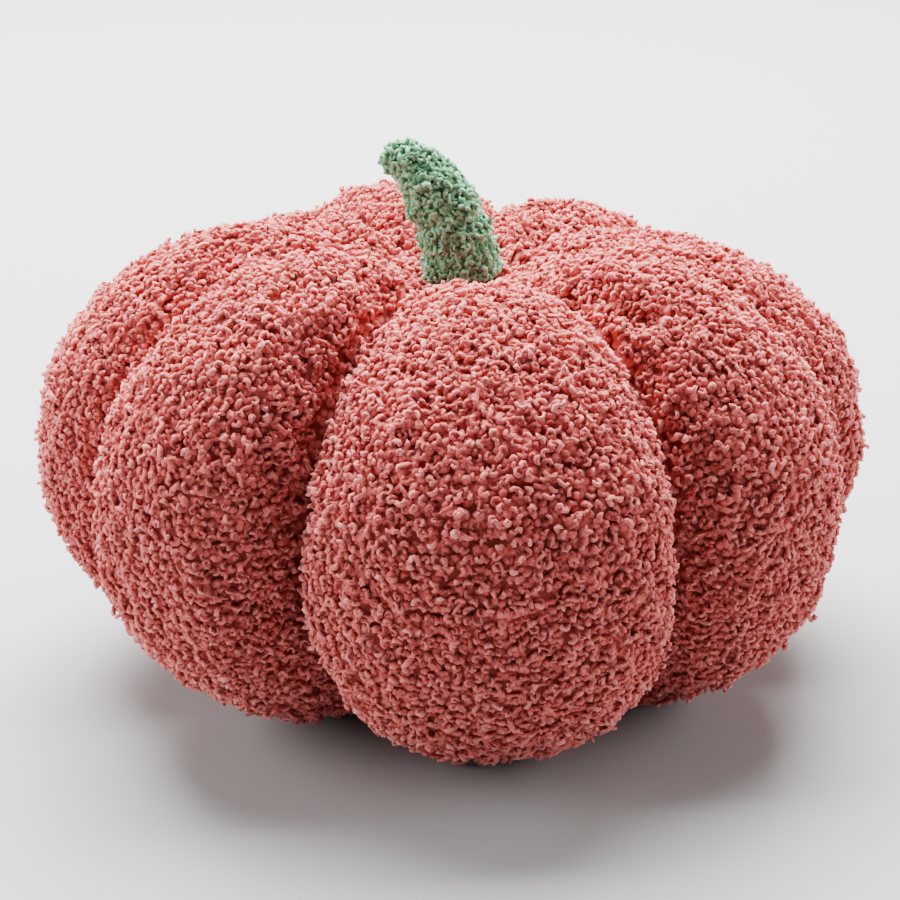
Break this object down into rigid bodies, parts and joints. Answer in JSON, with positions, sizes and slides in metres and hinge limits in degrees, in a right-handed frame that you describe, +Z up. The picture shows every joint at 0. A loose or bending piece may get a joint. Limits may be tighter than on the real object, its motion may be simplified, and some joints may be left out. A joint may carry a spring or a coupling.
{
  "type": "pumpkin cushion",
  "caption": "Filled round cushion sewn from curved panels into deep lobes, drawn in at top and bottom, with a curved soft stem on top.",
  "frame": {"origin": "on the surface the cushion rests on, under the middle of its bounding box", "axes": "+Z up through the stem's seat, -Y towards the front, +X to the viewer's right; the stem leans to -X"},
  "size_m": [0.3392, 0.337, 0.2195],
  "materials": {
    "pink_cloth": "curly looped pile in dusty pink, matt",
    "green_cloth": "curly looped pile in soft green, matt"
  },
  "bodies": {
    "root": {"body": "pink_cloth", "stem": "green_cloth"}
  },
  "joints": []
}
